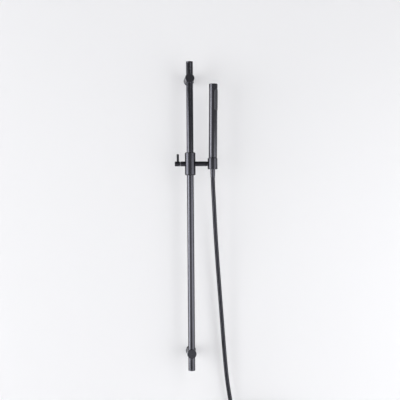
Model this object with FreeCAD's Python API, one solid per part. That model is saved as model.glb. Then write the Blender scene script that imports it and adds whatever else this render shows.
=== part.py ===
import FreeCAD, Part
import math
import os

# Shower slide rail: a round rail on two wall posts, a slider that locks with a
# lever, a tilting holder, and a stick handset on its hose. Millimetres.
# The origin is on the wall, midway between the two wall fixings: +X is to the
# right, +Y goes into the wall and +Z is up.

# Fits, the same wherever two pieces meet in the same way
RUNNING_FIT = 0.05
SEATED_FIT = 0.03
FACE_GAP = 0.1

# Rail and its end caps
RAIL_DIAMETER = 20.0
RAIL_WALL = 1.5
RAIL_LENGTH = 900.0
RAIL_STANDOFF = 55.0
END_CAP_THICKNESS = 4.0
END_CAP_PLUG = 14.0
END_CAP_CHAMFER = 0.6

# Wall posts, each pushed over a hub that is screwed to the wall
FIXING_SPACING = 800.0
POST_DIAMETER = 27.0
POST_NOSE = 4.0
POST_CHAMFER = 1.0
ROSE_DIAMETER = 30.0
ROSE_THICKNESS = 3.0
ROSE_CHAMFER = 0.8
HUB_DIAMETER = 18.0
HUB_LENGTH = 26.0
HUB_POCKET_SPARE = 0.6
WALL_SCREW_HOLE = 5.5
WALL_SCREW_HEAD = 11.0
HUB_GROOVE_WIDTH = 5.6
HUB_GROOVE_DEPTH = 0.8
HUB_SCREW_DIAMETER = 5.0
HUB_SCREW_SETBACK = 16.0
HUB_SCREW_RECESS = 0.4
RAIL_SCREW_DIAMETER = 6.0
RAIL_SCREW_LENGTH = 9.0
HEX_KEY_SHARE = 0.5
HEX_KEY_DEPTH = 2.5

# Slider: a sleeve that turns on two flanged bushes, which slide on the rail
SLIDER_HEIGHT = 152.0
SLEEVE_DIAMETER = 31.0
SLEEVE_LENGTH = 64.0
SLEEVE_CHAMFER = 0.8
SLEEVE_RELIEF = 1.0
BUSH_WALL = 1.75
BUSH_LENGTH = 16.0
BUSH_FLANGE_DIAMETER = 27.0
BUSH_FLANGE = 1.2

# Cross bar: the lock on the left and the holder's arm on the right
BAR_DIAMETER = 14.0
BAR_CHAMFER = 0.7
BAR_STUD_DIAMETER = 11.0
NECK_REACH = 28.6
PAD_DIAMETER = 8.0
PAD_LENGTH = 9.0
PAD_TRAVEL = 0.6
SPINDLE_DIAMETER = 6.0
KNOB_GAP = 0.8
KNOB_LENGTH = 15.6
SPINDLE_IN_KNOB = 9.0
LEVER_DIAMETER = 6.8
LEVER_SETBACK = 6.6
LEVER_REACH = 28.5
LEVER_TIP_ROUNDING = 2.0

# Holder: a slotted conical socket on a pivot screw
HOLDER_OFFSET = 66.0
HOLDER_DIAMETER = 30.0
HOLDER_HEIGHT = 32.0
HOLDER_CHAMFER = 0.8
SOCKET_TOP_DIAMETER = 25.0
SOCKET_BOTTOM_DIAMETER = 17.0
SLOT_WIDTH = 15.0
BOSS_REACH = 17.0
PIVOT_WASHER_DIAMETER = 12.6
PIVOT_WASHER_THICKNESS = 0.8
PIVOT_SHOULDER_DIAMETER = 6.0
PIVOT_THREAD_DIAMETER = 5.0
PIVOT_THREAD_LENGTH = 9.0
PIVOT_HEAD_DIAMETER = 9.0
PIVOT_HEAD_THICKNESS = 2.0
PIVOT_HEAD_RECESS = 0.8
SPRING_WASHER_THICKNESS = 0.6

# Handset: it stands in the socket with the play that lets it lean
SOCKET_PLAY = 0.3
HANDSET_LEAN = 0.8
HANDSET_DIAMETER = 24.4
HANDSET_WALL = 1.6
HANDSET_LENGTH = 215.0
HANDSET_CAP_DIAMETER = 25.0
HANDSET_CAP_LENGTH = 11.5
HANDSET_CAP_CHAMFER = 1.2
HANDSET_SPIGOT_LENGTH = 8.0
HANDSET_SPIGOT_WALL = 0.9
CAP_SEAL_SECTION = 1.2
CAP_SEAL_HEIGHT = 4.0
LINER_WALL = 1.2
INLET_PLUG = 10.0
INLET_BORE = 12.0
REGULATOR_DIAMETER = 15.0
REGULATOR_THICKNESS = 3.5
REGULATOR_BORE = 6.0

# Spray face, let into the handset's side below the cap
SPRAY_TURN = 40.0
SPRAY_LENGTH = 66.0
SPRAY_WIDTH = 14.0
SPRAY_BELOW_CAP = 2.0
SPRAY_PROUD = 0.8
PLATE_THICKNESS = 2.0
MAT_THICKNESS = 0.6
NOZZLE_DIAMETER = 1.8
NOZZLE_STAND = 0.9
NOZZLE_PITCH = 5.0
NOZZLE_COLUMN_PITCH = 4.0
NOZZLE_COLUMNS = 3

# Hose fittings, the same thread at both ends
THREAD_DIAMETER = 20.9
THREAD_LENGTH = 9.0
NUT_STAND = 1.6
NUT_SHOULDER_GAP = 0.4
NUT_CHAMFER = 0.5
SEAL_THICKNESS = 2.2
SEAL_DIAMETER = 18.4
SEAL_BORE = 11.0
TAIL_FLANGE_DIAMETER = 18.0
TAIL_FLANGE_THICKNESS = 2.0
TAIL_DIAMETER = 8.6
TAIL_BORE = 6.4
TAIL_LENGTH = 34.0
HOSE_DIAMETER = 12.0
HOSE_WALL = 1.6
HOSE_SLEEVE_WALL = 0.9
HOSE_SLEEVE_BELOW = 24.0
HOSE_SLEEVE_LIP = 0.35
HOSE_IN_SLEEVE = 4.0
HOSE_PLAY = 0.15
OUTLET_COVER = 14.0
OUTLET_SLEEVE_END = 3.0
OUTLET_NUT_FLATS = 24.0
OUTLET_NUT_WALL = 3.0
OUTLET_NECK_DIAMETER = 9.6

# Hose route from the holder down to where the coil begins, as it hangs
HOSE_ROUTE = [
    (65.5, -55.0, 116.0),
    (65.1, -55.0, 88.0),
    (67.6, -51.7, 40.0),
    (72.0, -46.3, -40.0),
    (77.6, -39.6, -130.0),
    (84.5, -33.0, -225.0),
    (91.4, -27.6, -320.0),
    (98.2, -23.6, -410.0),
    (104.8, -21.0, -480.0),
    (112.3, -19.5, -535.0),
    (123.2, -19.0, -595.0),
    (137.0, -19.4, -650.0),
]
ARC_SHARE = 0.45

# Coil of the spare hose, held by a strap
COIL_RADIUS = 72.0
COIL_PITCH = 13.0
COIL_SLACK = 0.5
COIL_END_ANGLE = 630.0
COIL_TAIL = 58.0
TIE_ANGLE = 232.0
TIE_WIDTH = 14.0
TIE_THICKNESS = 1.2
TIE_PLAY = 0.4

X_AXIS = FreeCAD.Vector(1, 0, 0)
Y_AXIS = FreeCAD.Vector(0, 1, 0)
Z_AXIS = FreeCAD.Vector(0, 0, 1)
ORIGIN = FreeCAD.Vector(0, 0, 0)

# Places that several pieces share
RAIL_RADIUS = RAIL_DIAMETER / 2
BAR_RADIUS = BAR_DIAMETER / 2
SLIDER_CENTRE = FreeCAD.Vector(0, -RAIL_STANDOFF, SLIDER_HEIGHT)
HOLDER_CENTRE = SLIDER_CENTRE + X_AXIS * HOLDER_OFFSET
POST_HEIGHTS = (FIXING_SPACING / 2, -FIXING_SPACING / 2)
POST_FRONT = RAIL_STANDOFF + RAIL_RADIUS + POST_NOSE
HUB_POCKET = HUB_LENGTH + HUB_POCKET_SPARE
BUSH_RADIUS = RAIL_RADIUS + RUNNING_FIT + BUSH_WALL
SLEEVE_BORE_RADIUS = RAIL_RADIUS + SLEEVE_RELIEF
BAR_SEAT = math.sqrt((SLEEVE_DIAMETER / 2) ** 2 - BAR_RADIUS**2)
STUD_START = SLEEVE_BORE_RADIUS + FACE_GAP
PAD_END = RAIL_RADIUS + RUNNING_FIT + PAD_LENGTH
KNOB_START = NECK_REACH + KNOB_GAP
KNOB_END = KNOB_START + KNOB_LENGTH
ARM_END = HOLDER_OFFSET - BOSS_REACH - PIVOT_WASHER_THICKNESS - FACE_GAP
SOCKET_MIDDLE_RADIUS = (SOCKET_TOP_DIAMETER + SOCKET_BOTTOM_DIAMETER) / 4
PIVOT_FACE = SOCKET_MIDDLE_RADIUS + PIVOT_HEAD_RECESS
PIVOT_SEAT = PIVOT_FACE + PIVOT_HEAD_THICKNESS + SPRING_WASHER_THICKNESS + FACE_GAP

# Heights on the handset's axis
RIM = SLIDER_HEIGHT + HOLDER_HEIGHT / 2
NUT_TOP = RIM + NUT_STAND
NUT_BOTTOM = SLIDER_HEIGHT - HOLDER_HEIGHT / 2
NUT_THREAD_FLOOR = NUT_TOP - THREAD_LENGTH
TAIL_TOP = NUT_THREAD_FLOOR - SEAL_THICKNESS + 2 * FACE_GAP
NUT_FLOOR = TAIL_TOP - TAIL_FLANGE_THICKNESS
INLET_BOTTOM = TAIL_TOP + SEAL_THICKNESS
HANDSET_BOTTOM = NUT_TOP + NUT_SHOULDER_GAP
HANDSET_TOP = HANDSET_BOTTOM + HANDSET_LENGTH
HANDSET_CAP_SEAT = HANDSET_TOP - HANDSET_CAP_LENGTH
HANDSET_BORE_RADIUS = HANDSET_DIAMETER / 2 - HANDSET_WALL
SPIGOT_RADIUS = HANDSET_BORE_RADIUS + HANDSET_SPIGOT_WALL
SPRAY_MIDDLE = HANDSET_CAP_SEAT - SPRAY_BELOW_CAP - SPRAY_LENGTH / 2
PLATE_OUTER_RADIUS = HANDSET_DIAMETER / 2 + SPRAY_PROUD
PLATE_INNER_RADIUS = PLATE_OUTER_RADIUS - PLATE_THICKNESS
MAT_INNER_RADIUS = PLATE_INNER_RADIUS - MAT_THICKNESS
HOSE_RADIUS = HOSE_DIAMETER / 2
HOSE_SLEEVE_RADIUS = HOSE_RADIUS + HOSE_PLAY + HOSE_SLEEVE_WALL
HOSE_SLEEVE_BOTTOM = NUT_BOTTOM - HOSE_SLEEVE_BELOW


def placed(shape, start, axis):
    """Move a shape made along +Z so that it starts at a point and runs along an axis."""
    shape.Placement = FreeCAD.Placement(start, FreeCAD.Rotation(Z_AXIS, axis))
    return shape


def turned(outline, start, axis=Z_AXIS):
    """A lathe part: (radius, height) corners turned about the axis from start."""
    points = [FreeCAD.Vector(radius, 0, height) for radius, height in outline]
    face = Part.Face(Part.makePolygon(points + points[:1]))
    return placed(face.revolve(ORIGIN, Z_AXIS, 360), start, axis)


def rod(diameter, length, start, axis=Z_AXIS):
    return Part.makeCylinder(diameter / 2, length, start, axis)


def hexagon(across_flats, length, start, axis):
    corners = []
    for k in range(6):
        angle = math.radians(60 * k)
        corner = FreeCAD.Vector(math.cos(angle), math.sin(angle), 0)
        corners.append(corner * (across_flats / math.sqrt(3)))
    face = Part.Face(Part.makePolygon(corners + corners[:1]))
    return placed(face.extrude(Z_AXIS * length), start, axis)


def grub_screw(diameter, length, start, axis):
    """A headless screw with a hexagon socket in its starting end."""
    key = hexagon(diameter * HEX_KEY_SHARE, HEX_KEY_DEPTH, start, axis)
    return rod(diameter, length, start, axis).cut(key)


def at_post(height):
    return FreeCAD.Vector(0, 0, height)


def rail_tube():
    length = RAIL_LENGTH - 2 * END_CAP_THICKNESS
    start = FreeCAD.Vector(0, -RAIL_STANDOFF, -length / 2)
    bore = rod(RAIL_DIAMETER - 2 * RAIL_WALL, length, start)
    return rod(RAIL_DIAMETER, length, start).cut(bore)


def end_cap(side):
    """A turned cap with a plug that is pressed into the rail's end."""
    plug_radius = RAIL_RADIUS - RAIL_WALL - SEATED_FIT
    outline = [
        (0, -END_CAP_PLUG),
        (plug_radius, -END_CAP_PLUG),
        (plug_radius, 0),
        (RAIL_RADIUS, 0),
        (RAIL_RADIUS, END_CAP_THICKNESS - END_CAP_CHAMFER),
        (RAIL_RADIUS - END_CAP_CHAMFER, END_CAP_THICKNESS),
        (0, END_CAP_THICKNESS),
    ]
    end = side * (RAIL_LENGTH / 2 - END_CAP_THICKNESS)
    return turned(outline, FreeCAD.Vector(0, -RAIL_STANDOFF, end), Z_AXIS * side)


def wall_post(height):
    """A round post with the rail through its nose and a pocket for the hub."""
    radius = POST_DIAMETER / 2
    pocket_radius = HUB_DIAMETER / 2 + SEATED_FIT
    outline = [
        (pocket_radius, ROSE_THICKNESS),
        (radius, ROSE_THICKNESS),
        (radius, POST_FRONT - POST_CHAMFER),
        (radius - POST_CHAMFER, POST_FRONT),
        (0, POST_FRONT),
        (0, HUB_POCKET),
        (pocket_radius, HUB_POCKET),
    ]
    post = turned(outline, at_post(height), -Y_AXIS)
    rail_bore = rod(
        RAIL_DIAMETER + 2 * SEATED_FIT,
        2 * POST_DIAMETER,
        FreeCAD.Vector(0, -RAIL_STANDOFF, height - POST_DIAMETER),
    )
    hub_screw_hole = rod(
        HUB_SCREW_DIAMETER + 2 * SEATED_FIT,
        POST_DIAMETER / 2,
        FreeCAD.Vector(0, -HUB_SCREW_SETBACK, height - POST_DIAMETER / 2),
    )
    rail_screw_hole = rod(
        RAIL_SCREW_DIAMETER + 2 * SEATED_FIT,
        RAIL_STANDOFF - HUB_LENGTH,
        FreeCAD.Vector(0, -HUB_LENGTH, height),
        -Y_AXIS,
    )
    return post.cut(rail_bore).cut(hub_screw_hole).cut(rail_screw_hole)


def wall_rose(height):
    hole_radius = HUB_DIAMETER / 2 + SEATED_FIT
    radius = ROSE_DIAMETER / 2
    outline = [
        (hole_radius, 0),
        (radius, 0),
        (radius, ROSE_THICKNESS - ROSE_CHAMFER),
        (radius - ROSE_CHAMFER, ROSE_THICKNESS),
        (hole_radius, ROSE_THICKNESS),
    ]
    return turned(outline, at_post(height), -Y_AXIS)


def wall_hub(height):
    """The hub that the wall screw holds, grooved where the post's screw bites."""
    radius = HUB_DIAMETER / 2
    hole_radius = WALL_SCREW_HOLE / 2
    head_radius = WALL_SCREW_HEAD / 2
    groove_back = HUB_SCREW_SETBACK - HUB_GROOVE_WIDTH / 2
    groove_front = HUB_SCREW_SETBACK + HUB_GROOVE_WIDTH / 2
    outline = [
        (hole_radius, 0),
        (radius, 0),
        (radius, groove_back),
        (radius - HUB_GROOVE_DEPTH, groove_back),
        (radius - HUB_GROOVE_DEPTH, groove_front),
        (radius, groove_front),
        (radius, HUB_LENGTH),
        (head_radius, HUB_LENGTH),
        (hole_radius, HUB_LENGTH - (head_radius - hole_radius)),
    ]
    return turned(outline, at_post(height), -Y_AXIS)


def hub_screw(height):
    start = POST_DIAMETER / 2 - HUB_SCREW_RECESS
    tip = HUB_DIAMETER / 2 - HUB_GROOVE_DEPTH + SEATED_FIT
    place = FreeCAD.Vector(0, -HUB_SCREW_SETBACK, height - start)
    return grub_screw(HUB_SCREW_DIAMETER, start - tip, place, Z_AXIS)


def rail_screw(height):
    tip = RAIL_STANDOFF - RAIL_RADIUS - SEATED_FIT
    place = FreeCAD.Vector(0, RAIL_SCREW_LENGTH - tip, height)
    return grub_screw(RAIL_SCREW_DIAMETER, RAIL_SCREW_LENGTH, place, -Y_AXIS)


def slider_sleeve():
    """The sleeve, counterbored for its bushes and spot-faced for the cross bar."""
    half = SLEEVE_LENGTH / 2
    radius = SLEEVE_DIAMETER / 2
    seat_radius = BUSH_RADIUS + RUNNING_FIT
    step = half - BUSH_LENGTH - FACE_GAP
    outline = [
        (SLEEVE_BORE_RADIUS, -step),
        (seat_radius, -step),
        (seat_radius, -half),
        (radius - SLEEVE_CHAMFER, -half),
        (radius, SLEEVE_CHAMFER - half),
        (radius, half - SLEEVE_CHAMFER),
        (radius - SLEEVE_CHAMFER, half),
        (seat_radius, half),
        (seat_radius, step),
        (SLEEVE_BORE_RADIUS, step),
    ]
    sleeve = turned(outline, SLIDER_CENTRE)
    for side in (-1, 1):
        axis = X_AXIS * side
        pocket = rod(BAR_DIAMETER + 2 * SEATED_FIT, radius, SLIDER_CENTRE + axis * BAR_SEAT, axis)
        hole = rod(BAR_STUD_DIAMETER + 2 * SEATED_FIT, radius, SLIDER_CENTRE, axis)
        sleeve = sleeve.cut(pocket).cut(hole)
    return sleeve


def rail_bush(side):
    """A flanged bush that slides on the rail and carries one end of the sleeve."""
    bore_radius = RAIL_RADIUS + RUNNING_FIT
    flange_radius = BUSH_FLANGE_DIAMETER / 2
    outline = [
        (bore_radius, -BUSH_LENGTH),
        (BUSH_RADIUS, -BUSH_LENGTH),
        (BUSH_RADIUS, FACE_GAP),
        (flange_radius, FACE_GAP),
        (flange_radius, FACE_GAP + BUSH_FLANGE),
        (bore_radius, FACE_GAP + BUSH_FLANGE),
    ]
    end = SLIDER_CENTRE + Z_AXIS * (side * SLEEVE_LENGTH / 2)
    return turned(outline, end, Z_AXIS * side)


def lock_neck():
    """The collar on the sleeve's left, bored for the pad and threaded for the spindle."""
    pad_radius = PAD_DIAMETER / 2 + RUNNING_FIT
    thread_radius = SPINDLE_DIAMETER / 2 + RUNNING_FIT
    stud_radius = BAR_STUD_DIAMETER / 2
    pocket_end = PAD_END + PAD_TRAVEL
    outline = [
        (pad_radius, STUD_START),
        (stud_radius, STUD_START),
        (stud_radius, BAR_SEAT),
        (BAR_RADIUS, BAR_SEAT),
        (BAR_RADIUS, NECK_REACH - BAR_CHAMFER),
        (BAR_RADIUS - BAR_CHAMFER, NECK_REACH),
        (thread_radius, NECK_REACH),
        (thread_radius, pocket_end),
        (pad_radius, pocket_end),
    ]
    return turned(outline, SLIDER_CENTRE, -X_AXIS)


def brake_pad():
    """A nylon pad whose hollow face grips the rail."""
    pad = rod(PAD_DIAMETER, PAD_END, SLIDER_CENTRE, -X_AXIS)
    rail = rod(
        RAIL_DIAMETER + 2 * RUNNING_FIT,
        2 * PAD_DIAMETER,
        SLIDER_CENTRE - Z_AXIS * PAD_DIAMETER,
    )
    return pad.cut(rail)


def lock_spindle():
    start = PAD_END + SEATED_FIT
    length = KNOB_START + SPINDLE_IN_KNOB - start
    return rod(SPINDLE_DIAMETER, length, SLIDER_CENTRE - X_AXIS * start, -X_AXIS)


def lever_seat():
    """Where the lever pin ends inside the knob, just clear of the spindle."""
    across = X_AXIS * (KNOB_START + LEVER_SETBACK)
    return SLIDER_CENTRE - across + Z_AXIS * (SPINDLE_DIAMETER / 2 + FACE_GAP)


def lock_knob():
    bore_radius = SPINDLE_DIAMETER / 2 + SEATED_FIT
    bore_end = KNOB_START + SPINDLE_IN_KNOB + SEATED_FIT
    outline = [
        (bore_radius, KNOB_START),
        (BAR_RADIUS - BAR_CHAMFER, KNOB_START),
        (BAR_RADIUS, KNOB_START + BAR_CHAMFER),
        (BAR_RADIUS, KNOB_END - BAR_CHAMFER),
        (BAR_RADIUS - BAR_CHAMFER, KNOB_END),
        (0, KNOB_END),
        (0, bore_end),
        (bore_radius, bore_end),
    ]
    pin_hole = rod(LEVER_DIAMETER + 2 * SEATED_FIT, BAR_DIAMETER, lever_seat())
    return turned(outline, SLIDER_CENTRE, -X_AXIS).cut(pin_hole)


def lever_pin():
    seat = lever_seat() + Z_AXIS * SEATED_FIT
    length = SLIDER_HEIGHT + LEVER_REACH - seat.z
    pin = rod(LEVER_DIAMETER, length, seat)
    tip = [edge for edge in pin.Edges if edge.BoundBox.ZMin > SLIDER_HEIGHT + BAR_RADIUS]
    return pin.makeFillet(LEVER_TIP_ROUNDING, tip)


def holder_arm():
    """The bar from the sleeve to the holder, tapped at its end for the pivot screw."""
    stud_radius = BAR_STUD_DIAMETER / 2
    hole_radius = PIVOT_THREAD_DIAMETER / 2 + SEATED_FIT
    hole_end = ARM_END - PIVOT_THREAD_LENGTH - FACE_GAP
    outline = [
        (0, STUD_START),
        (stud_radius, STUD_START),
        (stud_radius, BAR_SEAT),
        (BAR_RADIUS, BAR_SEAT),
        (BAR_RADIUS, ARM_END - BAR_CHAMFER),
        (BAR_RADIUS - BAR_CHAMFER, ARM_END),
        (hole_radius, ARM_END),
        (hole_radius, hole_end),
        (0, hole_end),
    ]
    return turned(outline, SLIDER_CENTRE, X_AXIS)


def washer(diameter, bore, thickness, start, axis):
    return rod(diameter, thickness, start, axis).cut(rod(bore, thickness, start, axis))


def pivot_washer():
    start = SLIDER_CENTRE + X_AXIS * ARM_END
    bore = PIVOT_SHOULDER_DIAMETER + 2 * RUNNING_FIT
    return washer(PIVOT_WASHER_DIAMETER, bore, PIVOT_WASHER_THICKNESS, start, X_AXIS)


def spring_washer():
    start = HOLDER_CENTRE - X_AXIS * (PIVOT_FACE + PIVOT_HEAD_THICKNESS)
    bore = PIVOT_SHOULDER_DIAMETER + 2 * RUNNING_FIT
    return washer(PIVOT_HEAD_DIAMETER, bore, SPRING_WASHER_THICKNESS, start, -X_AXIS)


def pivot_screw():
    """A shoulder screw, driven from inside the socket, that the holder turns on."""
    head_radius = PIVOT_HEAD_DIAMETER / 2
    shoulder_radius = PIVOT_SHOULDER_DIAMETER / 2
    thread_radius = PIVOT_THREAD_DIAMETER / 2
    shoulder_start = PIVOT_FACE + PIVOT_HEAD_THICKNESS
    shoulder_end = HOLDER_OFFSET - ARM_END
    outline = [
        (0, PIVOT_FACE),
        (head_radius, PIVOT_FACE),
        (head_radius, shoulder_start),
        (shoulder_radius, shoulder_start),
        (shoulder_radius, shoulder_end),
        (thread_radius, shoulder_end),
        (thread_radius, shoulder_end + PIVOT_THREAD_LENGTH),
        (0, shoulder_end + PIVOT_THREAD_LENGTH),
    ]
    face = HOLDER_CENTRE - X_AXIS * PIVOT_FACE
    key = hexagon(
        PIVOT_HEAD_DIAMETER * HEX_KEY_SHARE,
        PIVOT_HEAD_THICKNESS * HEX_KEY_SHARE,
        face,
        -X_AXIS,
    )
    return turned(outline, HOLDER_CENTRE, -X_AXIS).cut(key)


def handset_holder():
    """A round holder with a conical socket, a hose slot and a boss for the pivot."""
    half = HOLDER_HEIGHT / 2
    radius = HOLDER_DIAMETER / 2
    outline = [
        (0, -half),
        (radius - HOLDER_CHAMFER, -half),
        (radius, HOLDER_CHAMFER - half),
        (radius, half - HOLDER_CHAMFER),
        (radius - HOLDER_CHAMFER, half),
        (0, half),
    ]
    body = turned(outline, HOLDER_CENTRE)
    body = body.fuse(rod(BAR_DIAMETER, BOSS_REACH, HOLDER_CENTRE, -X_AXIS))
    socket = Part.makeCone(
        SOCKET_BOTTOM_DIAMETER / 2,
        SOCKET_TOP_DIAMETER / 2,
        HOLDER_HEIGHT,
        HOLDER_CENTRE - Z_AXIS * half,
    )
    slot = Part.makeBox(
        HOLDER_DIAMETER,
        SLOT_WIDTH,
        HOLDER_HEIGHT,
        HOLDER_CENTRE - Y_AXIS * (SLOT_WIDTH / 2) - Z_AXIS * half,
    )
    pivot_bore = rod(
        PIVOT_SHOULDER_DIAMETER + 2 * RUNNING_FIT, BOSS_REACH, HOLDER_CENTRE, -X_AXIS
    )
    head_bore = rod(
        PIVOT_HEAD_DIAMETER + 2 * FACE_GAP, PIVOT_SEAT, HOLDER_CENTRE, -X_AXIS
    )
    return body.cut(socket).cut(slot).cut(pivot_bore).cut(head_bore).removeSplitter()


def in_holder(shape):
    """Stand a piece, made round the Z axis with its spray to +X, in the holder."""
    shape = shape.copy()
    shape.rotate(ORIGIN, Z_AXIS, -SPRAY_TURN)
    shape.translate(FreeCAD.Vector(HOLDER_CENTRE.x, HOLDER_CENTRE.y, 0))
    shape.rotate(HOLDER_CENTRE, Y_AXIS, HANDSET_LEAN)
    return shape


def spray_slot(width, length, inner, outer):
    """A straight slot with round ends, cut towards +X through the handset's side."""
    straight = length - width
    slot = Part.makeBox(
        outer - inner,
        width,
        straight,
        FreeCAD.Vector(inner, -width / 2, SPRAY_MIDDLE - straight / 2),
    )
    for side in (-1, 1):
        centre = FreeCAD.Vector(inner, 0, SPRAY_MIDDLE + side * straight / 2)
        slot = slot.fuse(rod(width, outer - inner, centre, X_AXIS))
    return slot.removeSplitter()


def spray_shell(width, length, inner_radius, outer_radius):
    """The part of a round shell that lies in the spray slot."""
    start = FreeCAD.Vector(0, 0, SPRAY_MIDDLE - length / 2)
    shell = rod(2 * outer_radius, length, start).cut(rod(2 * inner_radius, length, start))
    return shell.common(spray_slot(width, length, 0, 2 * outer_radius))


def nozzle_places():
    """The (across, up) centre of each nozzle on the spray face."""
    rows = int((SPRAY_LENGTH - SPRAY_WIDTH) / NOZZLE_PITCH) + 1
    places = []
    for row in range(rows):
        up = SPRAY_MIDDLE + (row - (rows - 1) / 2) * NOZZLE_PITCH
        for column in range(NOZZLE_COLUMNS):
            across = (column - (NOZZLE_COLUMNS - 1) / 2) * NOZZLE_COLUMN_PITCH
            places.append((across, up))
    return places


def nozzles(diameter, inner_radius, stand):
    """One rod along +X for each nozzle, out to a stand above the plate's face."""
    rods = []
    for across, up in nozzle_places():
        face = math.sqrt(PLATE_OUTER_RADIUS**2 - across**2)
        start = FreeCAD.Vector(math.sqrt(inner_radius**2 - across**2), across, up)
        rods.append(rod(diameter, face + stand - start.x, start, X_AXIS))
    return rods


def handset_body():
    """The tube, with a window for the spray face and a spigot that the cap covers."""
    spigot_end = HANDSET_CAP_SEAT + HANDSET_SPIGOT_LENGTH
    outline = [
        (HANDSET_BORE_RADIUS, HANDSET_BOTTOM),
        (HANDSET_DIAMETER / 2, HANDSET_BOTTOM),
        (HANDSET_DIAMETER / 2, HANDSET_CAP_SEAT),
        (SPIGOT_RADIUS, HANDSET_CAP_SEAT),
        (SPIGOT_RADIUS, spigot_end),
        (HANDSET_BORE_RADIUS, spigot_end),
    ]
    window = spray_slot(
        SPRAY_WIDTH + 2 * RUNNING_FIT, SPRAY_LENGTH + 2 * RUNNING_FIT, 0, HANDSET_DIAMETER
    )
    return in_holder(turned(outline, ORIGIN).cut(window))


def spray_plate():
    plate = spray_shell(SPRAY_WIDTH, SPRAY_LENGTH, PLATE_INNER_RADIUS, PLATE_OUTER_RADIUS)
    hole = NOZZLE_DIAMETER + 2 * RUNNING_FIT
    holes = Part.makeCompound(nozzles(hole, MAT_INNER_RADIUS, NOZZLE_STAND))
    return in_holder(plate.cut(holes))


def nozzle_mat():
    """The soft mat behind the plate, with its nozzles standing through the holes."""
    mat = spray_shell(
        SPRAY_WIDTH,
        SPRAY_LENGTH,
        MAT_INNER_RADIUS,
        PLATE_INNER_RADIUS - RUNNING_FIT,
    )
    middle_radius = MAT_INNER_RADIUS + MAT_THICKNESS / 2
    soft_nozzles = nozzles(NOZZLE_DIAMETER, middle_radius, NOZZLE_STAND)
    return in_holder(mat.fuse(soft_nozzles).removeSplitter())


def water_liner():
    """The tube that leads water up to an opening behind the nozzle mat."""
    radius = min(HANDSET_BORE_RADIUS, MAT_INNER_RADIUS) - RUNNING_FIT
    start = FreeCAD.Vector(0, 0, HANDSET_BOTTOM + INLET_PLUG + FACE_GAP)
    length = HANDSET_CAP_SEAT - FACE_GAP - start.z
    tube = washer(2 * radius, 2 * (radius - LINER_WALL), length, start, Z_AXIS)
    margin = 2 * LINER_WALL
    opening = spray_slot(SPRAY_WIDTH - 2 * margin, SPRAY_LENGTH - 2 * margin, 0, HANDSET_DIAMETER)
    return in_holder(tube.cut(opening))


def handset_cap():
    """A cap whose skirt goes over the spigot, and whose sealed plug goes into it."""
    radius = HANDSET_CAP_DIAMETER / 2
    skirt_radius = SPIGOT_RADIUS + SEATED_FIT
    skirt_end = HANDSET_SPIGOT_LENGTH + FACE_GAP
    plug_radius = HANDSET_BORE_RADIUS - SEATED_FIT
    groove_radius = HANDSET_BORE_RADIUS - CAP_SEAL_SECTION - 2 * SEATED_FIT
    groove_low = CAP_SEAL_HEIGHT - CAP_SEAL_SECTION / 2 - SEATED_FIT
    groove_high = CAP_SEAL_HEIGHT + CAP_SEAL_SECTION / 2 + SEATED_FIT
    outline = [
        (0, 0),
        (plug_radius, 0),
        (plug_radius, groove_low),
        (groove_radius, groove_low),
        (groove_radius, groove_high),
        (plug_radius, groove_high),
        (plug_radius, skirt_end),
        (skirt_radius, skirt_end),
        (skirt_radius, 0),
        (radius, 0),
        (radius, HANDSET_CAP_LENGTH - HANDSET_CAP_CHAMFER),
        (radius - HANDSET_CAP_CHAMFER, HANDSET_CAP_LENGTH),
        (0, HANDSET_CAP_LENGTH),
    ]
    return in_holder(turned(outline, FreeCAD.Vector(0, 0, HANDSET_CAP_SEAT)))


def cap_seal():
    section = CAP_SEAL_SECTION / 2
    centre = FreeCAD.Vector(0, 0, HANDSET_CAP_SEAT + CAP_SEAL_HEIGHT)
    return in_holder(Part.makeTorus(HANDSET_BORE_RADIUS - SEATED_FIT - section, section, centre))


def handset_inlet():
    """The threaded inlet that plugs the handset's lower end."""
    bore_radius = INLET_BORE / 2
    seat_radius = REGULATOR_DIAMETER / 2 + SEATED_FIT
    seat_end = INLET_BOTTOM + REGULATOR_THICKNESS + SEATED_FIT
    plug_radius = HANDSET_BORE_RADIUS - SEATED_FIT
    outline = [
        (seat_radius, INLET_BOTTOM),
        (THREAD_DIAMETER / 2, INLET_BOTTOM),
        (THREAD_DIAMETER / 2, HANDSET_BOTTOM),
        (plug_radius, HANDSET_BOTTOM),
        (plug_radius, HANDSET_BOTTOM + INLET_PLUG),
        (bore_radius, HANDSET_BOTTOM + INLET_PLUG),
        (bore_radius, seat_end),
        (seat_radius, seat_end),
    ]
    return in_holder(turned(outline, ORIGIN))


def flow_regulator():
    start = FreeCAD.Vector(0, 0, INLET_BOTTOM)
    return in_holder(
        washer(REGULATOR_DIAMETER, REGULATOR_BORE, REGULATOR_THICKNESS, start, Z_AXIS)
    )


def cone_nut():
    """The hose's conical nut, which seats in the socket and holds the handset."""
    top_radius = SOCKET_TOP_DIAMETER / 2 - SOCKET_PLAY
    bottom_radius = SOCKET_BOTTOM_DIAMETER / 2 - SOCKET_PLAY
    thread_radius = THREAD_DIAMETER / 2 + RUNNING_FIT
    chamber_radius = SEAL_DIAMETER / 2 + FACE_GAP
    passage_radius = HOSE_SLEEVE_RADIUS + FACE_GAP
    outline = [
        (thread_radius, NUT_TOP),
        (top_radius - NUT_CHAMFER, NUT_TOP),
        (top_radius, NUT_TOP - NUT_CHAMFER),
        (top_radius, RIM),
        (bottom_radius, NUT_BOTTOM),
        (passage_radius, NUT_BOTTOM),
        (passage_radius, NUT_FLOOR),
        (chamber_radius, NUT_FLOOR),
        (chamber_radius, NUT_THREAD_FLOOR),
        (thread_radius, NUT_THREAD_FLOOR),
    ]
    return in_holder(turned(outline, ORIGIN))


def hose_seal():
    start = FreeCAD.Vector(0, 0, TAIL_TOP)
    return in_holder(washer(SEAL_DIAMETER, SEAL_BORE, SEAL_THICKNESS, start, Z_AXIS))


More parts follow.
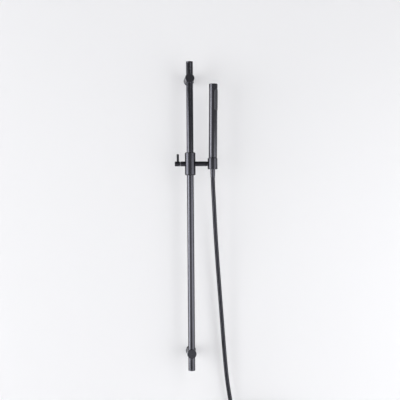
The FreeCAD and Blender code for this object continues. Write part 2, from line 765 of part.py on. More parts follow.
def hose_tail():
    """The flanged tail that the hose is pushed on to."""
    outline = [
        (TAIL_BORE / 2, TAIL_TOP - TAIL_LENGTH),
        (TAIL_DIAMETER / 2, TAIL_TOP - TAIL_LENGTH),
        (TAIL_DIAMETER / 2, NUT_FLOOR),
        (TAIL_FLANGE_DIAMETER / 2, NUT_FLOOR),
        (TAIL_FLANGE_DIAMETER / 2, TAIL_TOP),
        (TAIL_BORE / 2, TAIL_TOP),
    ]
    return in_holder(turned(outline, ORIGIN))


def hose_sleeve():
    """The sleeve over the hose's end, which tapers below the holder."""
    top = NUT_FLOOR - FACE_GAP
    bore_radius = HOSE_RADIUS + HOSE_PLAY
    outline = [
        (TAIL_DIAMETER / 2 + SEATED_FIT, top),
        (HOSE_SLEEVE_RADIUS, top),
        (HOSE_SLEEVE_RADIUS, NUT_BOTTOM),
        (bore_radius + HOSE_SLEEVE_LIP, HOSE_SLEEVE_BOTTOM),
        (bore_radius, HOSE_SLEEVE_BOTTOM),
        (bore_radius, HOSE_SLEEVE_BOTTOM + HOSE_IN_SLEEVE + FACE_GAP),
        (TAIL_DIAMETER / 2 + SEATED_FIT, HOSE_SLEEVE_BOTTOM + HOSE_IN_SLEEVE + FACE_GAP),
    ]
    return in_holder(turned(outline, ORIGIN))


def hose_path():
    """Straight runs joined by tangent arcs, each as large as its two runs allow."""
    points = [FreeCAD.Vector(*point) for point in HOSE_ROUTE]
    edges = []
    start = points[0]
    for before, corner, after in zip(points, points[1:], points[2:]):
        back = before - corner
        ahead = after - corner
        half_turn = (math.pi - back.getAngle(ahead)) / 2
        trim = ARC_SHARE * min(back.Length, ahead.Length)
        radius = trim / math.tan(half_turn)
        print("hose arc radius", round(radius, 1))
        back.normalize()
        ahead.normalize()
        inward = back + ahead
        inward.normalize()
        first = corner + back * trim
        last = corner + ahead * trim
        middle = corner + inward * (radius / math.cos(half_turn) - radius)
        edges.append(Part.LineSegment(start, first).toShape())
        edges.append(Part.Arc(first, middle, last).toShape())
        start = last
    edges.append(Part.LineSegment(start, points[-1]).toShape())
    return Part.Wire(edges)


def swept(path, radius):
    start = FreeCAD.Vector(*HOSE_ROUTE[0])
    along = FreeCAD.Vector(*HOSE_ROUTE[1]) - start
    circle = Part.Wire(Part.makeCircle(radius, start, along))
    return path.makePipeShell([circle], True, True)


def hose_tube():
    path = hose_path()
    bore_radius = HOSE_RADIUS - HOSE_WALL
    tube = swept(path, HOSE_RADIUS).cut(swept(path, bore_radius))
    section = math.pi * (HOSE_RADIUS**2 - bore_radius**2)
    print("hose length", round(path.Length, 1))
    print("hose volume over section times length", round(tube.Volume / (section * path.Length), 5))
    return tube


def coil_start():
    """The coil's centre, and the angle at which the hose runs into it."""
    entry = FreeCAD.Vector(*HOSE_ROUTE[-1])
    run = entry - FreeCAD.Vector(*HOSE_ROUTE[-2])
    run.y = 0
    run.normalize()
    centre = entry + FreeCAD.Vector(-run.z, 0, run.x) * COIL_RADIUS
    return centre, math.degrees(math.atan2(-run.x, run.z)) % 360


def coil_point(angle):
    """A point on the coil's helix, which comes forward by the pitch in each turn."""
    centre, first = coil_start()
    turn = math.radians(angle)
    forward = COIL_PITCH * (angle - first) / 360
    spoke = FreeCAD.Vector(math.cos(turn), 0, math.sin(turn)) * COIL_RADIUS
    return centre + spoke - Y_AXIS * forward


def coil_depth():
    """How far the coil's middle line comes forward from its first turn to its last."""
    return COIL_PITCH * (COIL_END_ANGLE - coil_start()[1]) / 360


def tail_line():
    """Where the hose leaves the coil, and the way that it goes."""
    turn = math.radians(COIL_END_ANGLE)
    return coil_point(COIL_END_ANGLE), FreeCAD.Vector(-math.sin(turn), 0, math.cos(turn))


def hose_coil():
    """The outer shape of the coiled hose, with the straight end that leaves it."""
    centre = coil_start()[0]
    front = centre - Y_AXIS * coil_depth()
    out = X_AXIS * COIL_RADIUS
    across = X_AXIS * (HOSE_RADIUS + COIL_SLACK)
    deep = Y_AXIS * (HOSE_RADIUS + COIL_SLACK)
    section = Part.Wire(
        [
            Part.Arc(centre + out - across, centre + out + deep, centre + out + across).toShape(),
            Part.LineSegment(centre + out + across, front + out + across).toShape(),
            Part.Arc(front + out + across, front + out - deep, front + out - across).toShape(),
            Part.LineSegment(front + out - across, centre + out - across).toShape(),
        ]
    )
    ring = Part.Face(section).revolve(centre, Y_AXIS, 360)
    end, along = tail_line()
    return ring.fuse(rod(HOSE_DIAMETER, COIL_TAIL, end, along)).removeSplitter()


def coil_tie():
    """A strap round the coil's section."""
    angle = math.radians(TIE_ANGLE)
    out = FreeCAD.Vector(math.cos(angle), 0, math.sin(angle))
    wide = HOSE_DIAMETER + 2 * COIL_SLACK + 2 * TIE_PLAY
    deep = coil_depth() + wide
    bands = []
    for extra in (2 * TIE_THICKNESS, 0):
        corner = FreeCAD.Vector(-(wide + extra) / 2, -(deep + extra) / 2, -TIE_WIDTH / 2)
        bands.append(Part.makeBox(wide + extra, deep + extra, TIE_WIDTH, corner))
    strap = bands[0].cut(bands[1])
    middle = coil_start()[0] + out * COIL_RADIUS - Y_AXIS * (coil_depth() / 2)
    strap.Placement = FreeCAD.Placement(middle, FreeCAD.Rotation(Y_AXIS, -TIE_ANGLE))
    return strap


def hose_end():
    """The hose's far end, and the way that it faces."""
    start, along = tail_line()
    return start + along * COIL_TAIL, along


def outlet_sleeve():
    end, along = hose_end()
    bore_radius = HOSE_RADIUS + HOSE_PLAY
    neck_radius = OUTLET_NECK_DIAMETER / 2 + SEATED_FIT
    outline = [
        (bore_radius, -OUTLET_COVER),
        (HOSE_SLEEVE_RADIUS, -OUTLET_COVER),
        (HOSE_SLEEVE_RADIUS, OUTLET_SLEEVE_END),
        (neck_radius, OUTLET_SLEEVE_END),
        (neck_radius, SEATED_FIT),
        (bore_radius, SEATED_FIT),
    ]
    return turned(outline, end, along)


def outlet_tail():
    """The far tail: its neck goes through the nut's wall to a flange for the seal."""
    end, along = hose_end()
    flange = OUTLET_SLEEVE_END + OUTLET_NUT_WALL + 2 * FACE_GAP
    outline = [
        (TAIL_BORE / 2, 2 * SEATED_FIT),
        (OUTLET_NECK_DIAMETER / 2, 2 * SEATED_FIT),
        (OUTLET_NECK_DIAMETER / 2, flange),
        (TAIL_FLANGE_DIAMETER / 2, flange),
        (TAIL_FLANGE_DIAMETER / 2, flange + TAIL_FLANGE_THICKNESS),
        (TAIL_BORE / 2, flange + TAIL_FLANGE_THICKNESS),
    ]
    return turned(outline, end, along)


def outlet_nut():
    """The hexagon nut for the water outlet, free to turn behind the tail's flange."""
    end, along = hose_end()
    back = OUTLET_SLEEVE_END + FACE_GAP
    chamber = back + OUTLET_NUT_WALL
    thread = chamber + FACE_GAP + TAIL_FLANGE_THICKNESS + SEAL_THICKNESS + FACE_GAP
    mouth = thread + THREAD_LENGTH
    neck_radius = OUTLET_NECK_DIAMETER / 2 + RUNNING_FIT
    chamber_radius = SEAL_DIAMETER / 2 + FACE_GAP
    thread_radius = THREAD_DIAMETER / 2 + RUNNING_FIT
    hollow = [
        (0, back),
        (neck_radius, back),
        (neck_radius, chamber),
        (chamber_radius, chamber),
        (chamber_radius, thread),
        (thread_radius, thread),
        (thread_radius, mouth),
        (0, mouth),
    ]
    corner_radius = OUTLET_NUT_FLATS / math.sqrt(3)
    bevel = corner_radius - OUTLET_NUT_FLATS / 2
    rounded = [
        (0, back),
        (corner_radius - bevel, back),
        (corner_radius, back + bevel),
        (corner_radius, mouth - bevel),
        (corner_radius - bevel, mouth),
        (0, mouth),
    ]
    prism = hexagon(OUTLET_NUT_FLATS, mouth - back, end + along * back, along)
    return prism.common(turned(rounded, end, along)).cut(turned(hollow, end, along))


def outlet_seal():
    end, along = hose_end()
    seat = OUTLET_SLEEVE_END + OUTLET_NUT_WALL + 2 * FACE_GAP + TAIL_FLANGE_THICKNESS
    return washer(SEAL_DIAMETER, SEAL_BORE, SEAL_THICKNESS, end + along * seat, along)


def nodes():
    """Every piece by its node's name."""
    upper, lower = POST_HEIGHTS
    return {
        "rail_tube": rail_tube(),
        "top_end_cap": end_cap(1),
        "bottom_end_cap": end_cap(-1),
        "upper_post": wall_post(upper),
        "lower_post": wall_post(lower),
        "upper_rose": wall_rose(upper),
        "lower_rose": wall_rose(lower),
        "upper_wall_hub": wall_hub(upper),
        "lower_wall_hub": wall_hub(lower),
        "hub_grub_screws": Part.makeCompound([hub_screw(height) for height in POST_HEIGHTS]),
        "rail_grub_screws": Part.makeCompound([rail_screw(height) for height in POST_HEIGHTS]),
        "upper_rail_bush": rail_bush(1),
        "lower_rail_bush": rail_bush(-1),
        "slider_sleeve": slider_sleeve(),
        "lock_neck": lock_neck(),
        "brake_pad": brake_pad(),
        "lock_spindle": lock_spindle(),
        "lock_knob": lock_knob(),
        "lever_pin": lever_pin(),
        "holder_arm": holder_arm(),
        "pivot_washer": pivot_washer(),
        "pivot_screw": pivot_screw(),
        "spring_washer": spring_washer(),
        "handset_holder": handset_holder(),
        "handset_body": handset_body(),
        "spray_plate": spray_plate(),
        "nozzle_mat": nozzle_mat(),
        "water_liner": water_liner(),
        "handset_cap": handset_cap(),
        "cap_seal": cap_seal(),
        "handset_inlet": handset_inlet(),
        "flow_regulator": flow_regulator(),
        "cone_nut": cone_nut(),
        "hose_seal": hose_seal(),
        "hose_tail": hose_tail(),
        "hose_sleeve": hose_sleeve(),
        "hose_tube": hose_tube(),
        "hose_coil": hose_coil(),
        "coil_tie": coil_tie(),
        "outlet_sleeve": outlet_sleeve(),
        "outlet_tail": outlet_tail(),
        "outlet_nut": outlet_nut(),
        "outlet_seal": outlet_seal(),
    }


os.makedirs("parts", exist_ok=True)
for name, shape in nodes().items():
    print(name, len(shape.Solids), "valid" if shape.isValid() else "NOT VALID", round(shape.Volume))
    shape.exportStep(f"parts/{name}.step")
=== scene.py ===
"""Looks of a shower slide rail: brushed gunmetal pieces, a stick handset and its hose."""

import math

import bmesh
import bpy
from bpy.props import FloatProperty, FloatVectorProperty, IntProperty, PointerProperty
from mathutils import Euler, Matrix, Vector


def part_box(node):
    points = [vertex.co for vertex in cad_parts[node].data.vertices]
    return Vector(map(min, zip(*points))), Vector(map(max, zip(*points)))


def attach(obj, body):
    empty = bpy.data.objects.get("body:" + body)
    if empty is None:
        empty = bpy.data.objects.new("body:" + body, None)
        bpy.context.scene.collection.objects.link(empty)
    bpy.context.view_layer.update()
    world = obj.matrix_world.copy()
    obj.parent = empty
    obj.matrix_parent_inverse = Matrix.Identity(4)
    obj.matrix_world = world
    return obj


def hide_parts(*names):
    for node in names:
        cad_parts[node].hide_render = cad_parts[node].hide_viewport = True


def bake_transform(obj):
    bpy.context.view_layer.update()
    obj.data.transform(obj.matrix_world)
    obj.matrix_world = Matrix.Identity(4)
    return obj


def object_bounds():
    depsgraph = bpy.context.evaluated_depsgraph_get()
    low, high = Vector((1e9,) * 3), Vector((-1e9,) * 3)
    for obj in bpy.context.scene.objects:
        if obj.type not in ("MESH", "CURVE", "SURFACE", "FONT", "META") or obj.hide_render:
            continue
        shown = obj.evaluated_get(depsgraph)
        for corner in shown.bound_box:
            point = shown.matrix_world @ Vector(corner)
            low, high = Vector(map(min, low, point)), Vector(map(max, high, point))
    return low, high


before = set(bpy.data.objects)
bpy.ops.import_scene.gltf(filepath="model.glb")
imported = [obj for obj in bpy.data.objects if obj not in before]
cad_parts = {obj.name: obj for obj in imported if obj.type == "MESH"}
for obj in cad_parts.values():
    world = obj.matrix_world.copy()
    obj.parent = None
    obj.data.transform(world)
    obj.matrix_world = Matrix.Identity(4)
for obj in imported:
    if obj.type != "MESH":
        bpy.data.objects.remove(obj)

bl_info = {
    "name": "Shower Slide Rail",
    "version": (1, 0, 0),
    "blender": (4, 5, 0),
    "location": "View3D > Sidebar > Slide Rail",
    "description": "Finishes a wall shower rail, its slider, handset and hose",
    "category": "Object",
}

CAD_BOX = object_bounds()

MM = 0.001
AXES = {"X": Vector((1, 0, 0)), "Y": Vector((0, 1, 0)), "Z": Vector((0, 0, 1))}

# Sockets of a Mix node that mixes colours: it has others of the same names for numbers
MIX_SHARE, MIX_FIRST, MIX_SECOND, MIX_RESULT = 0, 6, 7, 2
# A noise texture mostly keeps within this of its middle, which is 0.5
NOISE_REACH = 0.2
# How brass looks as it comes off the lathe
TURNED_BRASS = {"line_mm": 0.6, "roughness": 0.3, "brushed": 0.4}

# The hose's route from the holder down to its coil, as it hangs, in metres
HOSE_ROUTE = [
    (0.0655, -0.0550, 0.1160),
    (0.0660, -0.0550, 0.0880),
    (0.0686, -0.0517, 0.0400),
    (0.0723, -0.0463, -0.0400),
    (0.0780, -0.0396, -0.1300),
    (0.0850, -0.0330, -0.2250),
    (0.0919, -0.0276, -0.3200),
    (0.0985, -0.0236, -0.4100),
    (0.1047, -0.0210, -0.4800),
    (0.1127, -0.0195, -0.5350),
    (0.1238, -0.0190, -0.5950),
    (0.1370, -0.0194, -0.6500),
]

# Lamps: name, place, what it is turned to, width and height, in metres
LAMPS = (
    ("key", (2.0, -3.3, 2.7), (0.0, 0.0, 0.0), 2.0, 2.0),
    ("left", (-2.77, -1.655, -0.275), (0.0, -0.055, -0.275), 1.75, 2.45),
    ("strip", (-2.97, -0.47, -0.275), (0.0, -0.055, -0.275), 0.8, 2.45),
    ("right", (1.31, -0.973, -0.455), (0.0, -0.055, -0.455), 1.7, 1.49),
)

# The room's own light: the sine of the angle above the horizon, and the level there
ROOM_LIGHT = (
    (-1.0, 0.3),
    (-0.29, 0.4),
    (-0.17, 0.76),
    (0.0, 0.57),
    (0.14, 0.26),
    (0.5, 0.1),
    (1.0, 0.06),
)
ROOM_TINT = (0.98, 0.985, 1.0)


def linear(hex_colour):
    """An sRGB hex colour as linear red, green and blue."""
    values = [int(hex_colour[k : k + 2], 16) / 255 for k in (0, 2, 4)]
    return tuple(v / 12.92 if v <= 0.04045 else ((v + 0.055) / 1.055) ** 2.4 for v in values)


def colour(name, description, hex_colour):
    """A colour to choose, from its sRGB hex value."""
    return FloatVectorProperty(
        name=name,
        description=description,
        subtype="COLOR",
        size=3,
        min=0.0,
        max=1.0,
        default=linear(hex_colour),
    )


def length(name, description, metres):
    """A length to set."""
    return FloatProperty(
        name=name, description=description, subtype="DISTANCE", unit="LENGTH", default=metres
    )


def angle(name, description, degrees):
    """An angle to set."""
    turned = math.radians(degrees)
    return FloatProperty(
        name=name, description=description, subtype="ANGLE", unit="ROTATION", default=turned
    )


def place(name, description, metres):
    """A point to set."""
    return FloatVectorProperty(
        name=name, description=description, subtype="XYZ", unit="LENGTH", default=metres
    )


def power(name, description, watts):
    """A lamp's power to set."""
    return FloatProperty(name=name, description=description, subtype="POWER", default=watts)


class SlideRailSizes(bpy.types.PropertyGroup):
    """Sizes of what is drawn here and not read from model.glb."""

    rail_diameter: length("Rail diameter", "Outside diameter of the rail", 20 * MM)
    rail_wall: length("Rail wall", "Wall of the rail's tube", 1.5 * MM)
    rail_edge: length("Rail edge", "Rounding of the rail's cut ends", 0.3 * MM)
    hose_diameter: length("Hose diameter", "Outside diameter of the hose", 12 * MM)
    hose_bend: length("Hose bend", "Hose that bends when the holder tilts", 92 * MM)
    coil_radius: length("Coil radius", "Radius of the coil at the hose's middle", 72 * MM)
    coil_pitch: length("Coil pitch", "How far the coil comes forward in each turn", 13 * MM)
    coil_end: angle("Coil end", "Angle at which the hose leaves the coil", 630)
    coil_tail: length("Coil tail", "Straight hose from the coil to its far end", 58 * MM)
    strap_angle: angle("Strap angle", "Where the strap goes round the coil", 232)
    strap_width: length("Strap width", "Width of the strap", 14 * MM)
    strap_thickness: length("Strap thickness", "Thickness of the strap", 1.1 * MM)
    strap_play: length("Strap play", "Room between the strap and the hose", 0.7 * MM)
    strap_lap: length("Strap lap", "How far the strap's end laps over itself", 16 * MM)
    thread_pitch: length("Thread pitch", "Pitch of the far nut's thread", 1.814 * MM)
    thread_depth: length("Thread depth", "Depth of the far nut's thread", 0.9 * MM)
    thread_diameter: length("Thread diameter", "Largest diameter of the far nut's thread", 21.3 * MM)
    steps: IntProperty(
        name="Steps round",
        description="Faces round a turned piece",
        subtype="UNSIGNED",
        default=96,
        min=24,
        max=256,
    )


class SlideRailFinish(bpy.types.PropertyGroup):
    """Colours of the finishes."""

    gunmetal: colour("Gunmetal", "Coat of the rail, its posts and the handset", "54545A")
    slider: colour("Slider", "Coat of the slider, the holder and the hose's fittings", "4A4A50")
    # Near black. Under the handset, on the nut and on the inlet in the joint above it, this colour is
    # painted shade of the gap there. On the lever it only draws the lever darker than the knob.
    dark: colour("Dark", "Coat of the lever and of the nut under the handset", "303034")
    brass: colour("Brass", "Plain turned brass", "C9A35A")
    steel: colour("Steel", "Plain stainless steel", "B9BABD")
    nylon: colour("Nylon", "Black nylon", "161617")
    spray_face: colour("Spray face", "Face of the handset's spray", "4A4A50")
    silicone: colour("Silicone", "Soft nozzles", "6A6B70")
    liner: colour("Liner", "Plastic inside the handset", "D8D6CE")
    rubber: colour("Rubber", "Seals", "1A1A1A")
    hose: colour("Hose", "Skin of the hose", "38383D")
    strap: colour("Strap", "Woven strap round the coil", "1C1C1E")
    wall: colour("Wall", "Plain backdrop", "F6F6F8")
    floor: colour("Floor", "Plain floor", "DEDEE0")


class SlideRailStage(bpy.types.PropertyGroup):
    """Camera and light."""

    camera_place: place("Camera place", "Where the camera stands", (-0.110, -2.6157, 0.045))
    camera_yaw: angle("Camera yaw", "Turn to the right of straight at the wall", 3.079)
    camera_pitch: angle("Camera pitch", "Tilt above the horizon", 0.034)
    camera_roll: angle("Camera roll", "Turn about the line of sight", -0.4515)
    lens: FloatProperty(
        name="Lens", description="Focal length", subtype="DISTANCE_CAMERA", default=79.2
    )
    key: power("Key light", "Lamp above on the right", 36)
    left: power("Left light", "Tall panel on the left", 46)
    strip: power("Strip light", "Tall strip close to the wall on the left", 42)
    right: power("Right light", "Low panel on the right", 14.0)


def add_node(tree, kind, inputs=None, **settings):
    """Add a node, set it, and give each named input a value or a link."""
    made = tree.nodes.new(kind)
    for name, value in settings.items():
        setattr(made, name, value)
    for name, value in (inputs or {}).items():
        socket = made.inputs[name]
        if isinstance(value, bpy.types.NodeSocket):
            tree.links.new(value, socket)
        else:
            socket.default_value = value
    return made


def new_material(name):
    """An empty material and its node tree."""
    material = bpy.data.materials.new(name)
    material.use_nodes = True
    material.node_tree.nodes.clear()
    return material, material.node_tree


def rgba(values, share=1.0):
    """A colour for a socket, made dimmer or brighter by a share."""
    return tuple(min(1.0, v * share) for v in values) + (1.0,)


def widened(middle, spread):
    """Two ends to mix between by a noise, so that it mostly goes this far to each side."""
    reach = spread * 0.5 / NOISE_REACH
    return middle - reach, middle + reach


def turned_metal(name, base, axis, centre, line_mm, roughness, brushed, edge=1.0, coat=None):
    """A metal turned on a lathe: fine lines round its axis, and cloudy patches from handling."""
    if name in bpy.data.materials:
        return bpy.data.materials[name]
    material, tree = new_material(name)
    patch_mm = 28.0
    patch_share = 0.45
    tone_spread = 0.12
    gloss_spread = 0.04
    line_depth_mm = 0.04
    where = add_node(tree, "ShaderNodeTexCoord").outputs["Object"]
    from_axis = add_node(
        tree, "ShaderNodeVectorMath", {0: where, 1: centre}, operation="SUBTRACT"
    ).outputs["Vector"]
    along = add_node(
        tree, "ShaderNodeVectorMath", {0: from_axis, 1: AXES[axis]}, operation="DOT_PRODUCT"
    ).outputs["Value"]
    others = Vector((1, 1, 1)) - AXES[axis]
    across = add_node(
        tree, "ShaderNodeVectorMath", {0: from_axis, 1: others}, operation="MULTIPLY"
    ).outputs["Vector"]
    radius = add_node(tree, "ShaderNodeVectorMath", {0: across}, operation="LENGTH").outputs["Value"]
    travel = add_node(tree, "ShaderNodeMath", {0: along, 1: radius}).outputs[0]
    lines = add_node(
        tree,
        "ShaderNodeTexNoise",
        {"W": travel, "Scale": 1 / (line_mm * MM), "Detail": 2.0},
        noise_dimensions="1D",
    ).outputs[0]
    patches = add_node(
        tree,
        "ShaderNodeTexNoise",
        {"Vector": where, "Scale": 1 / (patch_mm * MM), "Detail": 3.0, "Roughness": 0.55},
    ).outputs[0]
    worn = add_node(
        tree, "ShaderNodeMix", {"Factor": patch_share, "A": lines, "B": patches}
    ).outputs[0]
    dim, bright = widened(1.0, tone_spread)
    tone = add_node(
        tree,
        "ShaderNodeMix",
        {MIX_SHARE: worn, MIX_FIRST: rgba(base, dim), MIX_SECOND: rgba(base, bright)},
        data_type="RGBA",
    ).outputs[MIX_RESULT]
    # Above the start height the colour turns near black: painted shade in the open joint under the
    # handset.
    if coat:
        start, joint_shade_colour = coat
        coated = add_node(
            tree, "ShaderNodeMath", {0: along, 1: start}, operation="GREATER_THAN"
        ).outputs[0]
        tone = add_node(
            tree,
            "ShaderNodeMix",
            {MIX_SHARE: coated, MIX_FIRST: tone, MIX_SECOND: rgba(joint_shade_colour)},
            data_type="RGBA",
        ).outputs[MIX_RESULT]
    smooth, rough = widened(roughness, gloss_spread)
    gloss = add_node(tree, "ShaderNodeMapRange", {"Value": worn, "To Min": smooth, "To Max": rough})
    bump = add_node(
        tree, "ShaderNodeBump", {"Height": lines, "Strength": 0.2, "Distance": line_depth_mm * MM}
    )
    tangent = add_node(tree, "ShaderNodeTangent", direction_type="RADIAL", axis=axis)
    shader = add_node(
        tree,
        "ShaderNodeBsdfPrincipled",
        {
            "Base Color": tone,
            "Metallic": 1.0,
            "Specular Tint": (edge, edge, edge, 1.0),
            "Roughness": gloss.outputs["Result"],
            "Anisotropic": brushed,
            "Normal": bump.outputs["Normal"],
            "Tangent": tangent.outputs["Tangent"],
        },
    )
    add_node(tree, "ShaderNodeOutputMaterial", {"Surface": shader.outputs[0]})
    return material


def axis_centre(node):
    """The middle of a node, which a turned one's axis goes through."""
    low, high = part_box(node)
    return (Vector(low) + Vector(high)) / 2


def gunmetal(node, axis, coat="gunmetal", centre_of=None):
    """Brass or steel, brushed round its axis and coated dark grey in a vacuum."""
    # The coat is a dim grey mirror with a trace of violet. The lines blur it along the axis,
    # so light lies on it in long clean bands. Real lines are 0.1 mm apart: drawn coarser to show.
    base = getattr(bpy.context.scene.slide_rail_finish, coat)
    centre = axis_centre(centre_of or node)
    name = "gunmetal_brushed_" + node
    return turned_metal(
        name, base, axis, centre, line_mm=1.0, roughness=0.21, brushed=0.2, edge=0.65
    )


def plain_brass(node, axis):
    """Brass as it comes off the lathe, with no coat."""
    # Yellow and bright, with turning lines. Real ones are about 0.2 mm apart: drawn coarser to show.
    base = bpy.context.scene.slide_rail_finish.brass
    return turned_metal("brass_turned_" + node, base, axis, axis_centre(node), **TURNED_BRASS)


def brass_with_joint_shade(node, start):
    """Brass off the lathe, drawn near black above a height, where it shows in the joint: painted shade.
    """
    # Yellow below, where the thread is hidden. The near black above is painted shade in the open joint.
    finish = bpy.context.scene.slide_rail_finish
    centre = axis_centre(node)
    coat = (start - centre.z, finish.dark)
    name = "brass_turned_part_coated"
    return turned_metal(name, finish.brass, "Z", centre, coat=coat, **TURNED_BRASS)


def stainless_steel(node, axis):
    """Stainless steel, thread-rolled or pressed."""
    # Cool and pale, smoother than the brass. Real lines are finer: drawn coarser to show.
    base = bpy.context.scene.slide_rail_finish.steel
    name = "stainless_steel_rolled_" + node
    return turned_metal(
        name, base, axis, axis_centre(node), line_mm=0.5, roughness=0.24, brushed=0.2
    )


def grained(name, base, grain_mm, roughness, spread, bump_mm, more=None):
    """A stuff with a fine grain in its tone, its gloss and its surface, such as a moulded one."""
    # A moulded grain is mostly under 0.2 mm: each is drawn coarser so that it shows.
    if name in bpy.data.materials:
        return bpy.data.materials[name]
    material, tree = new_material(name)
    gloss_spread = 0.05
    where = add_node(tree, "ShaderNodeTexCoord").outputs["Object"]
    grain = add_node(
        tree,
        "ShaderNodeTexNoise",
        {"Vector": where, "Scale": 1 / (grain_mm * MM), "Detail": 4.0, "Roughness": 0.6},
    ).outputs[0]
    dim, bright = widened(1.0, spread)
    tone = add_node(
        tree,
        "ShaderNodeMix",
        {MIX_SHARE: grain, MIX_FIRST: rgba(base, dim), MIX_SECOND: rgba(base, bright)},
        data_type="RGBA",
    )
    smooth, rough = widened(roughness, gloss_spread)
    gloss = add_node(tree, "ShaderNodeMapRange", {"Value": grain, "To Min": smooth, "To Max": rough})
    bump = add_node(tree, "ShaderNodeBump", {"Height": grain, "Strength": 0.3, "Distance": bump_mm * MM})
    shader = add_node(
        tree,
        "ShaderNodeBsdfPrincipled",
        {
            "Base Color": tone.outputs[MIX_RESULT],
            "Roughness": gloss.outputs["Result"],
            "Normal": bump.outputs["Normal"],
            **(more or {}),
        },
    )
    add_node(tree, "ShaderNodeOutputMaterial", {"Surface": shader.outputs[0]})
    return material


def nylon():
    # Glass-filled nylon from a spark-eroded mould: near black, dull, with a fine even grain.
    base = bpy.context.scene.slide_rail_finish.nylon
    filled = {"IOR": 1.53}
    return grained(
        "nylon_moulded_black", base, grain_mm=0.5, roughness=0.5, spread=0.2, bump_mm=0.03, more=filled
    )


def spray_abs():
    # ABS, moulded and painted to go with the metal: smoother than nylon, with a soft sheen.
    base = bpy.context.scene.slide_rail_finish.spray_face
    paint = {"Metallic": 0.7}
    return grained(
        "abs_moulded_painted", base, grain_mm=0.4, roughness=0.32, spread=0.08, bump_mm=0.01, more=paint
    )


def silicone():
    # Silicone rubber, moulded: light goes a little way in, so its edges are soft.
    base = bpy.context.scene.slide_rail_finish.silicone
    light_depth = (0.8 * MM, 0.8 * MM, 0.8 * MM)
    soft = {"IOR": 1.41, "Subsurface Weight": 0.2, "Subsurface Radius": light_depth}
    return grained(
        "silicone_moulded_grey", base, grain_mm=0.7, roughness=0.55, spread=0.08, bump_mm=0.02, more=soft
    )


def polypropylene():
    # Polypropylene with no dye: milky, waxy and a little clear.
    base = bpy.context.scene.slide_rail_finish.liner
    light_depth = (1.5 * MM, 1.4 * MM, 1.2 * MM)
    milky = {"IOR": 1.49, "Subsurface Weight": 0.4, "Subsurface Radius": light_depth}
    name = "polypropylene_moulded_natural"
    return grained(name, base, grain_mm=1.2, roughness=0.42, spread=0.04, bump_mm=0.02, more=milky)


def rubber():
    # EPDM rubber, moulded: black and dull, with a faint bloom.
    base = bpy.context.scene.slide_rail_finish.rubber
    name = "epdm_moulded_black"
    return grained(name, base, grain_mm=0.8, roughness=0.65, spread=0.3, bump_mm=0.03)


def hose_skin():
    # PVC with metal flakes, extruded smooth: dark grey, with a long highlight down its side.
    base = bpy.context.scene.slide_rail_finish.hose
    flakes = {"Metallic": 0.85, "Specular Tint": (0.4, 0.4, 0.4, 1.0)}
    name = "pvc_extruded_metal_flake"
    return grained(name, base, grain_mm=0.6, roughness=0.21, spread=0.08, bump_mm=0.01, more=flakes)


def woven_strap():
    """Polyester webbing, with its threads over and under each other."""
    # The weave breaks the light into small beads. Its tone is painted lighter on the threads' tops and
    # darker between them, a painted highlight and painted shade, so the black looks soft.
    name = "polyester_woven_black"
    if name in bpy.data.materials:
        return bpy.data.materials[name]
    base = bpy.context.scene.slide_rail_finish.strap
    material, tree = new_material(name)
    thread_mm = 1.4  # real threads are about 0.5 mm: drawn coarser so that they show
    wave_length = 0.314  # of the wave texture at a scale of 1
    dim, bright = 0.6, 1.4
    laid_out = add_node(tree, "ShaderNodeTexCoord").outputs["UV"]
    waves = [
        add_node(
            tree,
            "ShaderNodeTexWave",
            {"Vector": laid_out, "Scale": wave_length / (thread_mm * MM)},
            bands_direction=direction,
        ).outputs["Fac"]
        for direction in "XY"
    ]
    weave = add_node(
        tree, "ShaderNodeMath", {0: waves[0], 1: waves[1]}, operation="MULTIPLY"
    ).outputs[0]
    # Painted highlight on the threads' tops and painted shade in the hollows between them.
    tone = add_node(
        tree,
        "ShaderNodeMix",
        {MIX_SHARE: weave, MIX_FIRST: rgba(base, dim), MIX_SECOND: rgba(base, bright)},
        data_type="RGBA",
    )
    bump = add_node(tree, "ShaderNodeBump", {"Height": weave, "Strength": 0.8, "Distance": 0.2 * MM})
    shader = add_node(
        tree,
        "ShaderNodeBsdfPrincipled",
        {
            "Base Color": tone.outputs[MIX_RESULT],
            "Roughness": 0.75,
            "Sheen Weight": 0.3,
            "Normal": bump.outputs["Normal"],
        },
    )
    add_node(tree, "ShaderNodeOutputMaterial", {"Surface": shader.outputs[0]})
    return material


def dress(node, material):
    """Give a CAD node its finish."""
    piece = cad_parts[node]
    piece.data.materials.clear()
    piece.data.materials.append(material)


def new_piece(name, mesh, material, body, replaced):
    """A piece of this file's own, on a body, in place of CAD nodes."""
    piece = bpy.data.objects.new(name, mesh)
    bpy.context.scene.collection.objects.link(piece)
    mesh.materials.append(material)
    if body:
        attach(piece, body)
    if replaced:
        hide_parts(*replaced)
    return piece


def ringed_mesh(name, rings, closed, sharp_deg):
    """A mesh of rings of points, each joined to the next, capped at its ends or closed to a loop."""
    around = len(rings[0])
    mesh = bpy.data.meshes.new(name)
    made = bmesh.new()
    points = [[made.verts.new(point) for point in ring] for ring in rings]
    pairs = list(zip(points, points[1:]))
    if closed:
        pairs.append((points[-1], points[0]))
    for low, high in pairs:
        for step in range(around):
            after = (step + 1) % around
            made.faces.new((low[step], low[after], high[after], high[step]))
    if not closed:
        made.faces.new(list(reversed(points[0])))
        made.faces.new(points[-1])
    for face in made.faces:
        face.smooth = True
    bmesh.ops.recalc_face_normals(made, faces=made.faces)
    made.to_mesh(mesh)
    made.free()
    mesh.set_sharp_from_angle(angle=math.radians(sharp_deg))
    return mesh


def rounded(outline, radius, steps=4):
    """A closed outline with each corner turned into an arc."""
    found = []
    for k, corner in enumerate(outline):
        corner = Vector(corner)
        back = (Vector(outline[k - 1]) - corner).normalized()
        ahead = (Vector(outline[(k + 1) % len(outline)]) - corner).normalized()
        half = back.angle(ahead) / 2
        middle = corner + (back + ahead).normalized() * (radius / math.sin(half))
        first = corner + back * (radius / math.tan(half)) - middle
        last = corner + ahead * (radius / math.tan(half)) - middle
        for step in range(steps + 1):
            reach = first.lerp(last, step / steps)
            found.append(middle + reach.normalized() * radius)
    return found


